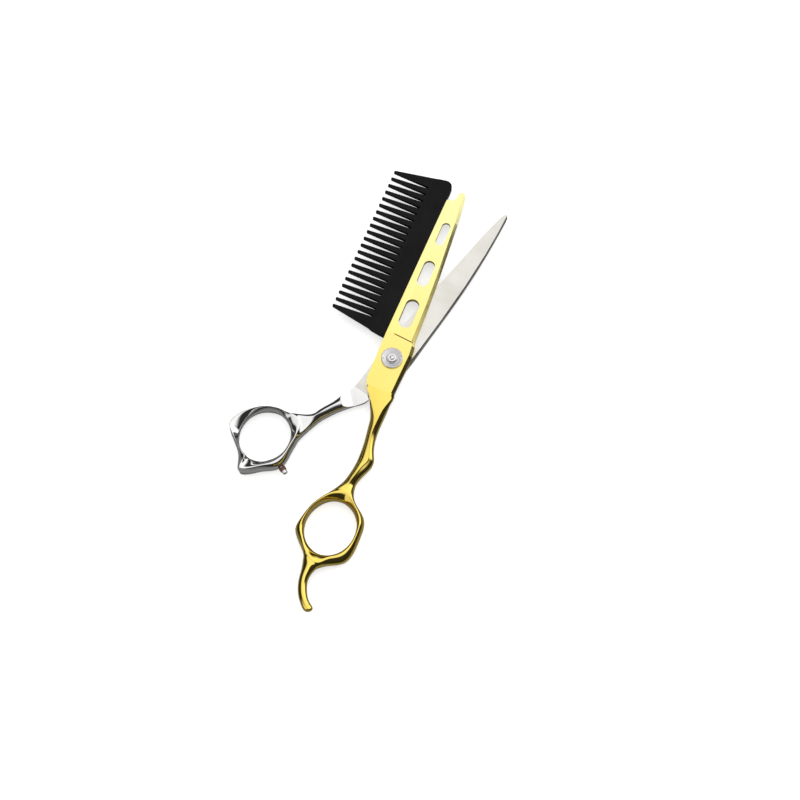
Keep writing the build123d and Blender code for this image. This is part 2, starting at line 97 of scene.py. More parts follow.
def mesh_from(name, shape):
    """Writes a bmesh out as a mesh, and frees it."""
    mesh = bpy.data.meshes.new(name)
    shape.to_mesh(mesh)
    shape.free()
    return mesh


shape = bmesh.new()
bmesh.ops.create_grid(shape, x_segments=1, y_segments=1, size=FLOOR_REACH)
floor = linked("floor", mesh_from("floor", shape))
paper = bpy.data.materials.new("floor_paper")
paper.use_nodes = True
paper_shader = paper.node_tree.nodes["Principled BSDF"]
paper_shader.inputs["Base Color"].default_value = FLOOR_TONE
paper_shader.inputs["Roughness"].default_value = 0.9
paper_shader.inputs["Specular IOR Level"].default_value = 0.1
paths = paper.node_tree.nodes.new("ShaderNodeLightPath")
near = paper.node_tree.nodes.new("ShaderNodeMapRange")
near.inputs["From Min"].default_value, near.inputs["From Max"].default_value = MIRRORED_REACH
near.inputs["To Min"].default_value, near.inputs["To Max"].default_value = MIRRORED_TONES
paper.node_tree.links.new(paths.outputs["Ray Length"], near.inputs["Value"])
mirrored_tone = paper.node_tree.nodes.new("ShaderNodeMix")
mirrored_tone.data_type = "RGBA"
mirrored_tone.inputs[6].default_value = FLOOR_TONE
paper.node_tree.links.new(paths.outputs["Is Glossy Ray"], mirrored_tone.inputs["Factor"])
paper.node_tree.links.new(near.outputs["Result"], mirrored_tone.inputs[7])
paper.node_tree.links.new(mirrored_tone.outputs[2], paper_shader.inputs["Base Color"])
# painted glow: the paper glows for camera rays only, which lightens the shadows cast on it
camera_glow = paper.node_tree.nodes.new("ShaderNodeMath")
camera_glow.operation = "MULTIPLY"
camera_glow.inputs[1].default_value = FLOOR_GLOW_FOR_CAMERA
paper.node_tree.links.new(paths.outputs["Is Camera Ray"], camera_glow.inputs[0])
paper_shader.inputs["Emission Color"].default_value = (1, 1, 1, 1)
paper.node_tree.links.new(camera_glow.outputs[0], paper_shader.inputs["Emission Strength"])
floor.data.materials.append(paper)
print("floor", 2 * FLOOR_REACH, "m across")

# %% Studio light
CEILING_LIGHT = 1.08        # how bright the soft ceiling is
CEILING_SLOPE = 0.24        # it is brighter towards the back window than towards the front one
BELT_LIGHT = 0.03           # the dark belt near the horizon
BELT_TOP = (0.50, 0.76)     # the ceiling begins between these heights on a unit sky
CEILING_LEAN = math.radians(13)       # the ceiling's middle leans towards the back
WINDOW_TURN = math.radians(48)        # where the back window is, from +X; the front one is opposite
WINDOW_EDGE = (0.92, 0.98)  # a window fades out between these, as the cosine from its middle

world = bpy.data.worlds.new("studio")
world.use_nodes = True
bpy.context.scene.world = world
sky = world.node_tree.nodes
wires = world.node_tree.links


def sky_math(kind, first, second=None, clamp=False):
    node = sky.new("ShaderNodeMath")
    node.operation = kind
    node.use_clamp = clamp
    for slot, value in enumerate((first, second)):
        if isinstance(value, (int, float)):
            node.inputs[slot].default_value = value
        elif value is not None:
            wires.new(value, node.inputs[slot])
    return node.outputs[0]


def sky_ramp(value, low, high):
    node = sky.new("ShaderNodeMapRange")
    node.interpolation_type = "SMOOTHSTEP"
    node.inputs["From Min"].default_value = low
    node.inputs["From Max"].default_value = high
    wires.new(value, node.inputs["Value"])
    return node.outputs["Result"]


heading = sky.new("ShaderNodeTexCoord")
split = sky.new("ShaderNodeSeparateXYZ")
wires.new(heading.outputs["Generated"], split.inputs[0])
along_window = sky_math("ADD", sky_math("MULTIPLY", split.outputs["X"], math.cos(WINDOW_TURN)),
                        sky_math("MULTIPLY", split.outputs["Y"], math.sin(WINDOW_TURN)))
level = sky_math("SQRT", sky_math("ADD", sky_math("MULTIPLY", split.outputs["X"], split.outputs["X"]),
                                  sky_math("MULTIPLY", split.outputs["Y"], split.outputs["Y"])))
facing = sky_math("DIVIDE", sky_math("ABSOLUTE", along_window), level)
window = sky_ramp(facing, *WINDOW_EDGE)
leaned = sky_math("ADD", sky_math("MULTIPLY", split.outputs["Z"], math.cos(CEILING_LEAN)),
                  sky_math("MULTIPLY", split.outputs["Y"], math.sin(CEILING_LEAN)))
ceiling = sky_ramp(leaned, *BELT_TOP)
lit = sky_math("MAXIMUM", window, ceiling)
slope = sky_math("ADD", sky_math("MULTIPLY", along_window, CEILING_SLOPE), 1 - CEILING_SLOPE / 4)
strength = sky_math("ADD", sky_math("MULTIPLY", sky_math("MULTIPLY", lit, slope), CEILING_LIGHT), BELT_LIGHT)
wires.new(strength, sky["Background"].inputs["Strength"])
sky["Background"].inputs["Color"].default_value = (1, 1, 1, 1)
bpy.context.scene.view_settings.view_transform = "Standard"
print("studio nodes", len(sky))

# %% [markdown]
# ## How the cast handles are sculpted
# A cast handle has no flat sides, so it is drawn as a cage of a few cross-sections that are carried
# along it. Each section runs from one side over the crest to the other side, and is mirrored for the
# back. A subdivision surface rounds the cage. Such a surface shrinks away from its cage, so
# `draw_out` first moves the cage until the surface passes the points that were drawn.

# %% Sculpting helpers
MID = 3.6                   # the handles' middle plane, in millimetres, as everything below


def first_loop(shape, points):
    """A closed loop of vertices through these points, made from a circle."""
    loop = bmesh.ops.create_circle(shape, segments=len(points), radius=1)["verts"][:1]
    while len(loop) < len(points):
        beside = [edge.other_vert(loop[-1]) for edge in loop[-1].link_edges]
        loop.append(next(vert for vert in beside if vert not in loop))
    for vert, point in zip(loop, points):
        vert.co = point
    return loop


def carry_on(shape, loop, points):
    """Extrudes a loop and puts the new one on these points, in the same order."""
    rim = [shape.edges.get(pair) for pair in zip(loop, loop[1:] + loop[:1])]
    grown = set(bmesh.ops.extrude_edge_only(shape, edges=rim)["geom"])
    following = []
    for vert, point in zip(loop, points):
        twin = next(edge.other_vert(vert) for edge in vert.link_edges if edge.other_vert(vert) in grown)
        twin.co = point
        following.append(twin)
    return following


def across(left, right, fraction, height):
    """A point between two plan points, at a height from the middle plane."""
    spot = Vector(left).lerp(Vector(right), fraction)
    return Vector((spot.x, spot.y, MID + height))


def height_at(profile, y):
    """The crest's height above the middle plane, from a side view."""
    for (y0, h0), (y1, h1) in zip(profile, profile[1:]):
        if y1 <= y <= y0:
            return h0 + (h1 - h0) * (y0 - y) / (y0 - y1)
    return profile[-1][1] if y < profile[-1][0] else profile[0][1]


def mirrored(top):
    """A whole section from its top half, which runs from one side point to the other."""
    under = [Vector((point.x, point.y, 2 * MID - point.z)) for point in reversed(top[1:-1])]
    return top + under


def limit_place(vert):
    """Where a subdivision surface passes a vertex of the cage."""
    count = len(vert.link_edges)
    total = vert.co * count * count
    for edge in vert.link_edges:
        total += 4 * edge.other_vert(vert).co
    for face in vert.link_faces:
        corner = face.verts[:].index(vert)
        total += face.verts[(corner + 2) % 4].co
    return total / (count * (count + 5))


def draw_out(shape, fixed, passes=8):
    """Moves the cage until the smooth surface passes the points that the cage was drawn with."""
    targets = {vert: vert.co.copy() for vert in shape.verts if vert not in fixed}
    for _ in range(passes):
        shifts = {vert: target - limit_place(vert) for vert, target in targets.items()}
        for vert, shift in shifts.items():
            vert.co += shift


def cast(shape, name, place):
    """Turns a cage into a smooth piece, in metres and in its place."""
    bmesh.ops.recalc_face_normals(shape, faces=shape.faces)
    bmesh.ops.transform(shape, matrix=Matrix.Scale(MM, 4) @ place, verts=shape.verts)
    for face in shape.faces:
        face.smooth = True
    piece = linked(name, mesh_from(name, shape))
    smooth = piece.modifiers.new("rounding", "SUBSURF")
    smooth.levels = smooth.render_levels = 3
    return piece


RAMP_TURN = math.radians(49.8)
RAMP_START = 17.2           # how far from the pivot the ground hollow is, before the ramp rises to its head
RAMP_FOOT = 18.2
RAMP_HEAD = 22.2
RAMP_STEP = 22.9            # the small step up to the round shank
RAMP_RISE = 2.2
RIDE_GAP = 0.05
RELIEF = 0.25


def ramp_cutter(side, place):
    """The block that leaves a handle's ramp: side 1 cuts the thumb handle's top, -1 the finger's back."""
    outline = [(40, 6), (-RAMP_STEP, 6), (-RAMP_STEP, RAMP_RISE + 1.1), (-RAMP_HEAD, RAMP_RISE),
               (-RAMP_FOOT, 0.0), (-RAMP_FOOT + 0.15, -0.42), (-RAMP_START, -0.38), (-RAMP_START + 0.9, -0.3),
               (0, -RIDE_GAP - RELIEF), (0, -RIDE_GAP), (40, -RIDE_GAP)]
    heading = Vector((side * math.cos(RAMP_TURN), math.sin(RAMP_TURN), 0))
    square = Vector((heading.y, -heading.x, 0))
    shape = bmesh.new()
    corners = [shape.verts.new(heading * reach + Vector((0, 0, MID + side * rise)) - square * 60)
               for reach, rise in outline]
    block = shape.faces.new(corners)
    grown = bmesh.ops.extrude_face_region(shape, geom=[block])["geom"]
    far_end = [item for item in grown if isinstance(item, bmesh.types.BMVert)]
    bmesh.ops.translate(shape, verts=far_end, vec=square * 120)
    bmesh.ops.recalc_face_normals(shape, faces=shape.faces)
    bmesh.ops.transform(shape, matrix=Matrix.Scale(MM, 4) @ place, verts=shape.verts)
    return linked("ramp_cutter", mesh_from("ramp_cutter", shape))


SHARP_FROM = math.radians(32)


def settled(shape, name, body, node):
    """Marks a shape's crisp edges, makes it a piece, and puts the piece in its CAD node's place."""
    for edge in shape.edges:
        edge.smooth = len(edge.link_faces) < 2 or edge.calc_face_angle() < SHARP_FROM
    made = linked(name, mesh_from(name, shape))
    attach(made, body)
    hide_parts(node)
    print(name, "triangles", sum(len(face.vertices) - 2 for face in made.data.polygons))
    return made


def carved(piece, cutter, body, node):
    """Takes the cutter out of a cast piece, and settles what is left."""
    carve = piece.modifiers.new("carve", "BOOLEAN")
    carve.operation = "DIFFERENCE"
    carve.solver = "EXACT"
    carve.object = cutter
    bpy.context.view_layer.update()
    mesh = bpy.data.meshes.new_from_object(piece.evaluated_get(bpy.context.evaluated_depsgraph_get()))
    bpy.data.objects.remove(cutter)
    bpy.data.objects.remove(piece)
    shape = bmesh.new()
    shape.from_mesh(mesh)
    return settled(shape, node + "_cast", body, node)


# %% [markdown]
# ## Finger handle
# This is the gold casting: a shank that turns from flat to round, a finger ring, and a curved rest
# for the little finger. The ring is closed on itself first. Its outer faces are then taken off where
# the shank and the rest join, and the bars are welded to the rims of those two openings. The block
# made by `ramp_cutter` takes away the back, so that the handle clears the other blade.

# %% Finger handle cage
FINGER_ORIGIN = Vector((-0.4, 1.0, 0))
FINGER_CREST = [(-14, 3.15), (-22, 3.1), (-30, 2.9), (-44, 3.05), (-56, 3.45), (-62, 3.52), (-80, 3.52),
                (-90, 2.3), (-104, 1.6)]
STEP_IN = 0.05
# left side, right side, where the ridge lies across, and how far the section has turned from flat to round
FINGER_SHANK = [
    ((-4.5, -14), (6.65, -14), 0.86, 0.0),
    ((-3.3, -15.6), (6.55, -15.6), 0.86, 0.04),
    ((-2.4, -17), (6.4, -17), 0.86, 0.12),
    ((-0.9, -20), (6.15, -20), 0.78, 0.35),
    ((0.3, -22.5), (6.1, -22.5), 0.70, 0.6),
    ((1.3, -25), (6.1, -25), 0.63, 0.85),
    ((1.8, -28), (6.1, -28), 0.57, 1.0),
    ((2.25, -31), (6.25, -31), 0.53, 1.0),
    ((2.65, -34), (6.7, -34), 0.57, 1.0),
    ((2.95, -37), (7.6, -37), 0.60, 1.0),
    ((3.05, -39.5), (8.7, -39.5), 0.62, 1.0),
    ((3.1, -41.5), (9.1, -41.9), 0.62, 1.0),
    ((3.0, -43.6), (8.4, -44.6), 0.55, 1.0),
    ((2.6, -46.8), (7.2, -47.4), 0.54, 1.0),
    ((2.0, -49.8), (6.35, -50.2), 0.54, 1.0),
    ((1.0, -52.6), (6.4, -53.0), 0.56, 1.0),
]
FINGER_CENTRE = (3.8, -70.0)
FINGER_RADII = (9.4, 10.8)
# angle of the hole, outer point, and where the crest lies across from outside to inside
FINGER_RING = [
    (118, (-1.3, -57.0), 0.50, 0.3), (104, (1.2, -55.2), 0.50, 0.85), (90, (3.9, -54.0), 0.45, 1.0),
    (77, (6.0, -54.6), 0.50, 0.85), (62, (8.0, -56.9), 0.50, 0.3),
    (47, (11.8, -60.2), 0.55), (32, (14.2, -62.8), 0.6), (17, (15.2, -66.0), 0.65), (0, (15.4, -70.5), 0.7),
    (-17, (15.3, -75.2), 0.7), (-35, (14.1, -79.5), 0.68), (-53, (11.3, -82.0), 0.66),
    (-71, (8.2, -83.6), 0.6),
    (-88, (5.4, -85.6), 0.40, 0.3), (-104, (2.2, -85.2), 0.40, 1.0), (-122, (-1.7, -82.6), 0.45, 0.3),
    (-138, (-4.6, -79.5), 0.55), (-153, (-7.0, -76.8), 0.6), (-168, (-8.2, -74.2), 0.62),
    (-185, (-7.7, -70.2), 0.64),
    (-205, (-6.4, -65.3), 0.64), (-225, (-4.2, -60.9), 0.6),
]
FINGER_FORK = (0, 4)
REST_FORK = (13, 15)
FINGER_REST = [
    ((-0.9, -85.0), (4.7, -86.6)),
    ((-0.1, -88.0), (4.0, -88.6)),
    ((0.35, -91.5), (3.8, -91.6)),
    ((1.3, -95.0), (4.85, -94.9)),
    ((2.9, -98.2), (6.4, -97.6)),
    ((4.9, -100.7), (8.0, -99.1)),
    ((6.5, -102.1), (9.2, -100.1)),
    ((7.9, -102.5), (9.6, -101.2)),
]


# %% Sections of the shank and the ring
def shank_top(left, right, ridge, roundness, height, oval=False):
    """The top half of a shank's section: flat with an eased edge at the blade, round further on."""
    flat = [(0, 0), (0, 0.9), (0.05, 1.0), (ridge, 1.0), (ridge + 0.03, 0.99), (0.995, 0.62), (1, 0)]
    rounded = [(0, 0), (0.22 * ridge, 0.55), (0.55 * ridge, 0.86), (ridge, 1.0), (ridge + STEP_IN, 0.93),
               (ridge + 0.74 * (1 - ridge), 0.6), (1, 0)]
    if oval:
        rounded = [(0, 0), (0.07, 0.5), (0.25, 0.86), (ridge, 1.0), (ridge + 0.14, 0.96), (0.9, 0.58),
                   (1, 0)]
    top = []
    for (f0, h0), (f1, h1) in zip(flat, rounded):
        top.append(across(left, right, f0 + (f1 - f0) * roundness, height * (h0 + (h1 - h0) * roundness)))
    return top


def ring_section(centre, radii, shoulder, angle, outer, crest, height, web=0.0):
    """A ring's section, from its outer side over the crest to the hole's wall and back under."""
    turn = math.radians(angle)
    wall = (centre[0] + radii[0] * math.cos(turn), centre[1] + radii[1] * math.sin(turn))
    rise, change = shoulder
    spots = [(0, 0), (crest * 0.36, 0.68 + 0.3 * web), (crest, 1.0),
             (crest + 0.85 * (1 - crest), rise + change * max(web, 0)), (1, 0)]
    return mirrored([across(outer, wall, fraction, height * part) for fraction, part in spots])


def open_fork(shape, loops, first, last):
    """Takes the outer faces off between two ring stations; returns the rim of the opening, in order."""
    doomed = []
    for station in range(first, last):
        here, there = loops[station], loops[station + 1]
        for a, b in ((0, 1), (7, 0)):
            corners = {here[a], here[b], there[a], there[b]}
            doomed += [face for face in here[a].link_faces if set(face.verts) == corners]
    bmesh.ops.delete(shape, geom=doomed, context="FACES_ONLY")
    lone = [loops[station][0] for station in range(first + 1, last)]
    span = range(first, last + 1)
    upper = [loops[station][1] for station in span]
    lower = [loops[station][7] for station in reversed(span)]
    rim = [loops[first][0]] + upper + [loops[last][0]] + lower
    bmesh.ops.delete(shape, geom=lone, context="VERTS")
    return rim


def ring_loops(shape, centre, radii, stations, crest_profile, shoulder):
    """Carries the section all round a finger hole."""
    def section(station):
        angle, outer, crest, *web = station
        height = height_at(crest_profile, outer[1])
        return ring_section(centre, radii, shoulder, angle, outer, crest, height, *web)

    loops = [first_loop(shape, section(stations[0]))]
    for station in stations[1:]:
        loops.append(carry_on(shape, loops[-1], section(station)))
    seam = carry_on(shape, loops[-1], [vert.co for vert in loops[0]])
    bmesh.ops.weld_verts(shape, targetmap=dict(zip(seam, loops[0])))
    return loops


def weld_on(shape, loop, rim):
    """Closes the gap between the last loop of a bar and the rim of an opening."""
    reached = carry_on(shape, loop, [vert.co for vert in rim])
    bmesh.ops.weld_verts(shape, targetmap=dict(zip(reached, rim)))


def carry_bar(shape, sections):
    """Carries a bar through its sections; returns its first and last loops."""
    start = bar = first_loop(shape, sections[0])
    for section in sections[1:]:
        bar = carry_on(shape, bar, section)
    return start, bar


def keep_crisp(shape, loop):
    """Creases a loop, so that the rounding keeps its shape."""
    creases = shape.edges.layers.float.new("crease_edge")
    for pair in zip(loop, loop[1:] + loop[:1]):
        shape.edges.get(pair)[creases] = 1.0


def rest_top(left, right, height):
    """The top half of the finger rest's section."""
    spots = [(0, 0), (0.16, 0.68), (0.5, 1.0), (0.84, 0.68), (1, 0)]
    return [across(left, right, fraction, height * part) for fraction, part in spots]


# %% Finger handle
FINGER_SHOULDER = (0.62, -0.12)     # height of the ring's inner shoulder, and its change at a fork
shape = bmesh.new()
loops = ring_loops(shape, FINGER_CENTRE, FINGER_RADII, FINGER_RING, FINGER_CREST, FINGER_SHOULDER)
shank_rim = open_fork(shape, loops, *FINGER_FORK)
rest_rim = open_fork(shape, loops, *REST_FORK)

sections = [mirrored(shank_top(left, right, ridge, turned, height_at(FINGER_CREST, left[1])))
            for left, right, ridge, turned in FINGER_SHANK]
weld_end, bar = carry_bar(shape, sections)
weld_on(shape, bar, shank_rim)

sections = [mirrored(rest_top(right, left, height_at(FINGER_CREST, left[1]))) for left, right in FINGER_REST]
tip, bar = carry_bar(shape, sections[::-1])
weld_on(shape, bar, rest_rim)
print("open edges", sum(1 for edge in shape.edges if edge.is_boundary))

draw_out(shape, set(weld_end) | set(tip))
keep_crisp(shape, weld_end)
bmesh.ops.contextual_create(shape, geom=weld_end)
bmesh.ops.contextual_create(shape, geom=tip)
finger_place = Matrix.Translation(FINGER_ORIGIN)
finger_cast = cast(shape, "finger_handle_cast", finger_place)
ramp = ramp_cutter(-1, finger_place)
finger_handle = carved(finger_cast, ramp, "finger_half", "finger_handle")

# %% [markdown]
# ## Thumb handle
# The polished steel casting is made in the same way, with a rounder shank, a pointed fin below the
# ring, and the ground ramp on top. Its numbers are drawn along the closed blade and then turned.

# %% Thumb handle cage
THUMB_TURN = math.radians(-14.8)
THUMB_ORIGIN = (-0.8, 1.0, 0)
THUMB_CREST = [(-17, 2.75), (-22.5, 3.1), (-34, 3.2), (-44, 3.45), (-50, 3.52), (-75, 3.52)]
THUMB_SHANK = [
    ((-4.5, -17), (3.1, -17), 0.5, 0.0),
    ((-5.1, -19.8), (2.1, -20.2), 0.5, 0.0),
    ((-5.9, -22.8), (0.2, -23.3), 0.45, 0.5),
    ((-6.7, -25.6), (-1.9, -26.8), 0.42, 1.0),
    ((-7.7, -28.7), (-3.7, -29.8), 0.42, 1.0),
    ((-9.4, -33.0), (-5.6, -33.8), 0.42, 1.0),
    ((-11.3, -36.6), (-6.8, -37.6), 0.44, 1.0),
]
THUMB_CENTRE = (-19.2, -53.0)
THUMB_RADII = (9.2, 10.3)
THUMB_RING = [
    (88, (-17.2, -40.5), 0.40, 0.1), (74, (-14.2, -39.3), 0.4, 0.6), (60, (-11.6, -39.6), 0.4, 0.9),
    (45, (-9.6, -41.2), 0.5, 0.4), (30, (-8.2, -45.0), 0.55, 0.0),
    (17, (-8.0, -48.4), 0.6), (3, (-7.5, -52.0), 0.6), (-11, (-6.8, -55.6), 0.6),
    (-25, (-7.1, -58.9), 0.6, 0.2),
    (-39, (-9.2, -61.8), 0.5, 0.4), (-53, (-12.3, -64.6), 0.4), (-66, (-15.6, -68.1), 0.3),
    (-79, (-18.9, -69.3), 0.15),
    (-92, (-20.7, -67.6), 0.7, -0.8), (-108, (-22.7, -64.6), 0.7, -0.6), (-124, (-25.6, -62.3), 0.45),
    (-141, (-29.2, -60.0), 0.2), (-157, (-32.0, -57.9), 0.12), (-170, (-32.9, -55.5), 0.22),
    (-188, (-32.4, -52.3), 0.3),
    (-206, (-30.6, -48.9), 0.33), (-224, (-27.4, -45.2), 0.36), (-241, (-23.9, -42.7), 0.38),
    (-258, (-20.4, -41.3), 0.4),
]
THUMB_FORK = (0, 4)
THUMB_SHOULDER = (0.45, 0.3)

# %% Thumb handle
shape = bmesh.new()
loops = ring_loops(shape, THUMB_CENTRE, THUMB_RADII, THUMB_RING, THUMB_CREST, THUMB_SHOULDER)
shank_rim = open_fork(shape, loops, *THUMB_FORK)
sections = [mirrored(shank_top(left, right, ridge, turned, height_at(THUMB_CREST, left[1]), oval=True))
            for left, right, ridge, turned in THUMB_SHANK]
weld_end, bar = carry_bar(shape, sections)
weld_on(shape, bar, shank_rim)
print("open edges", sum(1 for edge in shape.edges if edge.is_boundary))
draw_out(shape, set(weld_end))
keep_crisp(shape, weld_end)
bmesh.ops.contextual_create(shape, geom=weld_end)
thumb_place = Matrix.Rotation(THUMB_TURN, 4, "Z") @ Matrix.Translation(THUMB_ORIGIN)
thumb_cast = cast(shape, "thumb_handle_cast", thumb_place)
ramp = ramp_cutter(1, thumb_place)
thumb_handle = carved(thumb_cast, ramp, "thumb_half", "thumb_handle")

# %% [markdown]
# ## Dial and bolt
# Both are turned on a lathe, so each is a half section spun round the pivot's axis. The dial is a
# shallow dish with a raised collar and two holes for a spanner. The bolt ends in a ring and a dome.

# %% Turned pieces
def turned(profile, segments=96):
    """Spins a half section, given as radius and height, round the pivot's axis."""
    shape = bmesh.new()
    line = [shape.verts.new((radius, 0, height)) for radius, height in profile]
    edges = [shape.edges.new(pair) for pair in zip(line, line[1:])]
    if profile[0][0] > 0:
        edges.append(shape.edges.new((line[-1], line[0])))
    bmesh.ops.spin(shape, geom=line + edges, cent=(0, 0, 0), axis=(0, 0, 1), angle=math.tau,
                   steps=segments, use_merge=True)
    bmesh.ops.remove_doubles(shape, verts=shape.verts, dist=0.0005)
    bmesh.ops.recalc_face_normals(shape, faces=shape.faces)
    return shape


def turned_piece(shape, name, body, node):
    """Brings a turned shape to metres, smooths it and settles it."""
    bmesh.ops.transform(shape, matrix=Matrix.Scale(MM, 4), verts=shape.verts)
    for face in shape.faces:
        face.smooth = True
    return settled(shape, name, body, node)


# %% Tension dial
DIAL_PROFILE = [(1.7, 6.8), (4.05, 6.8), (4.05, 7.5), (4.0, 7.64), (3.88, 7.73), (3.72, 7.75), (3.56, 7.7),
                (2.35, 7.17), (2.2, 7.14), (2.1, 7.2), (2.05, 7.42), (1.98, 7.48), (1.8, 7.48), (1.7, 7.42)]
shape = turned(DIAL_PROFILE)
dial = turned_piece(shape, "tension_dial_turned", "dial", "tension_dial")

# %% The dial's spanner holes
SOCKET_REACH = 3.4
SOCKET_TURN = math.radians(27)
SOCKET_RADIUS = 0.5
SOCKET_DRILL = 1.8
DRILL_MIDDLE = 8.0
shape = bmesh.new()
for half in (0, math.pi):
    spot = Matrix.Rotation(SOCKET_TURN + half, 4, "Z") @ Matrix.Translation((SOCKET_REACH, 0, DRILL_MIDDLE))
    bmesh.ops.create_cone(shape, cap_ends=True, segments=32, radius1=SOCKET_RADIUS,
                          radius2=SOCKET_RADIUS, depth=SOCKET_DRILL, matrix=spot)
bmesh.ops.transform(shape, matrix=Matrix.Scale(MM, 4), verts=shape.verts)
sockets = linked("dial_sockets", mesh_from("dial_sockets", shape))
drill = dial.modifiers.new("sockets", "BOOLEAN")
drill.operation = "DIFFERENCE"
drill.solver = "EXACT"
drill.object = sockets
bpy.context.view_layer.update()
drilled = bpy.data.meshes.new_from_object(dial.evaluated_get(bpy.context.evaluated_depsgraph_get()))
dial.modifiers.clear()
dial.data = drilled
bpy.data.objects.remove(sockets)

# %% Pivot bolt
BOLT_PROFILE = [(0, 0), (3.2, 0), (3.5, 0.3), (3.5, 1.25), (2.1, 1.25), (2.1, 6.75), (1.62, 6.75),
                (1.62, 7.76), (1.54, 7.86), (1.36, 7.92), (1.2, 7.88), (1.08, 7.7), (1.0, 7.62),
                (0.95, 7.7), (0.8, 7.96), (0.5, 8.13), (0.25, 8.18), (0, 8.2)]
KEY_WIDE = 4.4              # the square part that sits in the thumb blade
KEY_TALL = 1.75
KEY_MIDDLE = 2.1
shape = turned(BOLT_PROFILE)
key_place = Matrix.Rotation(THUMB_TURN, 4, "Z") @ Matrix.Translation((0, 0, KEY_MIDDLE))
key_place = key_place @ Matrix.Diagonal((KEY_WIDE, KEY_WIDE, KEY_TALL, 1))
bmesh.ops.create_cube(shape, size=1, matrix=key_place)
bolt = turned_piece(shape, "pivot_bolt_turned", "thumb_half", "pivot_bolt")

# %% [markdown]
# ## Finishes
# Every finish is made from noise on object coordinates, so it stays on the piece when it moves. One
# pattern runs the roughness. On the pieces that show, another runs the colour between two close
# tones, and on ground, turned and moulded faces a fine one raises a depth of a few thousandths of a
# millimetre. Grinding marks are noise that is drawn out into lines.

# %% Finishes
def finish(name, base, metallic, roughness):
    """A new material with one tone, which the patterns below then vary."""
    material = bpy.data.materials.new(name)
    material.use_nodes = True
    shader = material.node_tree.nodes["Principled BSDF"]
    shader.inputs["Base Color"].default_value = (*base, 1)
    shader.inputs["Metallic"].default_value = metallic
    shader.inputs["Roughness"].default_value = roughness
    return material


def grain(material, per_metre, stretch=(1, 1, 1), turn=0.0, detail=3):
    """Noise on object coordinates; a stretch draws it out into lines."""
    tree = material.node_tree
    place = tree.nodes.new("ShaderNodeTexCoord")
    turned = tree.nodes.new("ShaderNodeMapping")
    turned.inputs["Rotation"].default_value = (0, 0, turn)
    turned.inputs["Scale"].default_value = stretch
    noise = tree.nodes.new("ShaderNodeTexNoise")
    noise.inputs["Scale"].default_value = per_metre
    noise.inputs["Detail"].default_value = detail
    tree.links.new(place.outputs["Object"], turned.inputs["Vector"])
    tree.links.new(turned.outputs["Vector"], noise.inputs["Vector"])
    return noise.outputs["Fac"]


def along_y(material, low, high):
    """Runs from 0 to 1 between two places along the blade, with a little unevenness."""
    tree = material.node_tree
    place = tree.nodes.new("ShaderNodeTexCoord")
    split_place = tree.nodes.new("ShaderNodeSeparateXYZ")
    tree.links.new(place.outputs["Object"], split_place.inputs[0])
    run = tree.nodes.new("ShaderNodeMapRange")
    run.inputs["From Min"].default_value = low
    run.inputs["From Max"].default_value = high
    tree.links.new(split_place.outputs["Y"], run.inputs["Value"])
    uneven = tree.nodes.new("ShaderNodeMath")
    uneven.operation = "MULTIPLY_ADD"
    uneven.inputs[1].default_value = 0.35
    tree.links.new(grain(material, 40), uneven.inputs[0])
    tree.links.new(run.outputs["Result"], uneven.inputs[2])
    return uneven.outputs[0]


def tint(material, value, low, high, edges=(0.35, 0.65)):
    """The base colour runs between two tones with a pattern."""
    tree = material.node_tree
    ramp = tree.nodes.new("ShaderNodeValToRGB")
    ramp.color_ramp.elements[0].position, ramp.color_ramp.elements[1].position = edges
    ramp.color_ramp.elements[0].color = (*low, 1)
    ramp.color_ramp.elements[1].color = (*high, 1)
    tree.links.new(value, ramp.inputs["Fac"])
    tree.links.new(ramp.outputs["Color"], tree.nodes["Principled BSDF"].inputs["Base Color"])


def dull(material, value, low, high):
    """Roughness runs between two values with a pattern."""
    tree = material.node_tree
    spread = tree.nodes.new("ShaderNodeMapRange")
    spread.inputs["From Min"].default_value = 0.3
    spread.inputs["From Max"].default_value = 0.7
    spread.inputs["To Min"].default_value = low
    spread.inputs["To Max"].default_value = high
    tree.links.new(value, spread.inputs["Value"])
    tree.links.new(spread.outputs["Result"], tree.nodes["Principled BSDF"].inputs["Roughness"])


def relief(material, value, depth):
    """A pattern raised by a real depth, in metres."""
    tree = material.node_tree
    bump = tree.nodes.new("ShaderNodeBump")
    bump.inputs["Distance"].default_value = depth
    tree.links.new(value, bump.inputs["Height"])
    tree.links.new(bump.outputs["Normal"], tree.nodes["Principled BSDF"].inputs["Normal"])


# %% [markdown]
# ### Gold
# The coating is a thin hard layer on steel. On the casting it is polished. On the blade it keeps a
# fine grind, with the marks running across the blade, and its colour is painted paler towards the tip,
# a painted highlight standing in for the bright reflection on the flat.

# %% Gold coating
gold_cast = finish("gold_coat_cast", (1.0, 0.70, 0.13), 1.0, 0.10)
tint(gold_cast, grain(gold_cast, 45), (1.0, 0.69, 0.12), (1.0, 0.79, 0.18))
dull(gold_cast, grain(gold_cast, 380), 0.06, 0.13)
gold_ground = finish("gold_coat_ground", (1.0, 0.70, 0.13), 1.0, 0.16)
# painted highlight: the blade's colour runs paler towards the tip, standing in for the bright reflection on
# its flat
tint(gold_ground, along_y(gold_ground, -0.014, 0.075), (1.0, 0.77, 0.16), (1.0, 0.93, 0.42), edges=(0, 1))
dull(gold_ground, grain(gold_ground, 300, stretch=(0.2, 5, 5)), 0.12, 0.2)
relief(gold_ground, grain(gold_ground, 900, stretch=(0.05, 3, 1)), 0.004 * MM)

# %% [markdown]
# ### Steels
# The lower blade is satin ground, with the marks running across it, and the thumb handle is mirror
# polished. The dial is turned: its grooves run in circles, so its reflections are stretched outwards
# from the axis, which the shader's anisotropy does with a tangent that runs round the axis. Bushes
# and springs sit inside the pivot and hardly show, so only their roughness varies.

